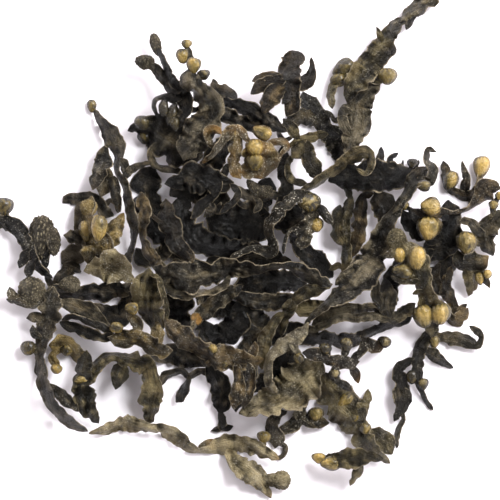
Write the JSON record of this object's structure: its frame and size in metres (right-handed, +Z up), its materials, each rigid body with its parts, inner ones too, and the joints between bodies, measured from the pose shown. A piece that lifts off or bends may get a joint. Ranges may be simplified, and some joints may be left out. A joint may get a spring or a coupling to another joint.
{
  "type": "dried bladderwrack",
  "caption": "Loose tangled clump of dried brown seaweed: flat forked straps with torn wavy edges, egg-shaped air bladders and warty fruiting tips.",
  "frame": {"origin": "on the surface that the clump lies on, under the middle of the flat spot of the lowest blade, near the middle of the clump", "axes": "+Z up from the surface, +X to the right and +Y to the top of the picture, which looks straight down"},
  "size_m": [0.2056, 0.205, 0.0256],
  "materials": {
    "charcoal_frond": "dry leathery, matt with a dull sheen, wrinkled lengthwise",
    "grey_green_frond": "dry leathery, matt with a dull sheen, wrinkled lengthwise",
    "olive_frond": "dry leathery, matt with a dull sheen, wrinkled lengthwise",
    "brown_frond": "dry leathery, matt with a dull sheen, wrinkled lengthwise",
    "tan_frond": "dry leathery, matt with a dull sheen, wrinkled lengthwise",
    "pale_frond": "dry leathery, matt with a dull sheen, wrinkled lengthwise"
  },
  "bodies": {
    "root": {"resting_blade": "charcoal_frond", "dark_panel": "charcoal_frond", "dark_heart": "charcoal_frond", "dark_core": "charcoal_frond", "shaded_brown_blade": "brown_frond", "big_black_blade": "charcoal_frond", "black_left_blade": "charcoal_frond", "black_left_strap": "charcoal_frond", "lower_black_frond": "charcoal_frond", "olive_brown_frond": "brown_frond", "upright_dark_frond": "charcoal_frond", "upright_olive_strap": "olive_frond", "speckled_grey_strap": "grey_green_frond", "folded_olive_frond": "olive_frond", "dark_toothed_blade": "charcoal_frond", "streaked_blade": "grey_green_frond", "looped_diagonal_strap": "olive_frond", "dark_top_straps": "charcoal_frond", "broad_green_blade": "grey_green_frond", "black_bud_frond": "charcoal_frond", "brown_topped_blade": "charcoal_frond", "bladdered_top_strap": "grey_green_frond", "crown_frond": "brown_frond", "long_top_frond": "olive_frond", "bladder_plate_frond": "tan_frond", "arched_speckled_frond": "grey_green_frond", "right_twist_frond": "grey_green_frond", "flared_bladder_frond": "olive_frond", "claw_frond": "brown_frond", "bladder_pair_frond": "brown_frond", "brown_twisted_frond": "brown_frond", "lower_right_fork": "grey_green_frond", "right_core_straps": "grey_green_frond", "lower_centre_strap": "grey_green_frond", "broken_strap": "grey_green_frond", "twisted_centre_blade": "olive_frond", "long_diagonal_strap": "grey_green_frond", "double_bladder_frond": "olive_frond", "paddle_strap": "grey_green_frond", "folded_tan_leaf": "grey_green_frond", "left_bladder_blade": "tan_frond", "left_edge_frond": "charcoal_frond", "speckled_pods_frond": "grey_green_frond", "wide_centre_strap": "grey_green_frond", "pale_diamond_blade": "pale_frond", "square_blade": "olive_frond", "wavy_left_frond": "grey_green_frond", "ragged_cup_frond": "tan_frond", "forked_lower_left_frond": "olive_frond", "tan_twist_frond": "tan_frond", "long_left_strap": "grey_green_frond", "mottled_diagonal_strap": "olive_frond", "warty_lower_frond": "grey_green_frond", "long_pale_leaf_frond": "pale_frond", "pale_lower_blade": "pale_frond", "speckled_pale_blade": "pale_frond", "warty_brown_frond": "brown_frond", "warty_tips_frond": "brown_frond", "curled_bottom_blade": "olive_frond"}
  },
  "joints": []
}
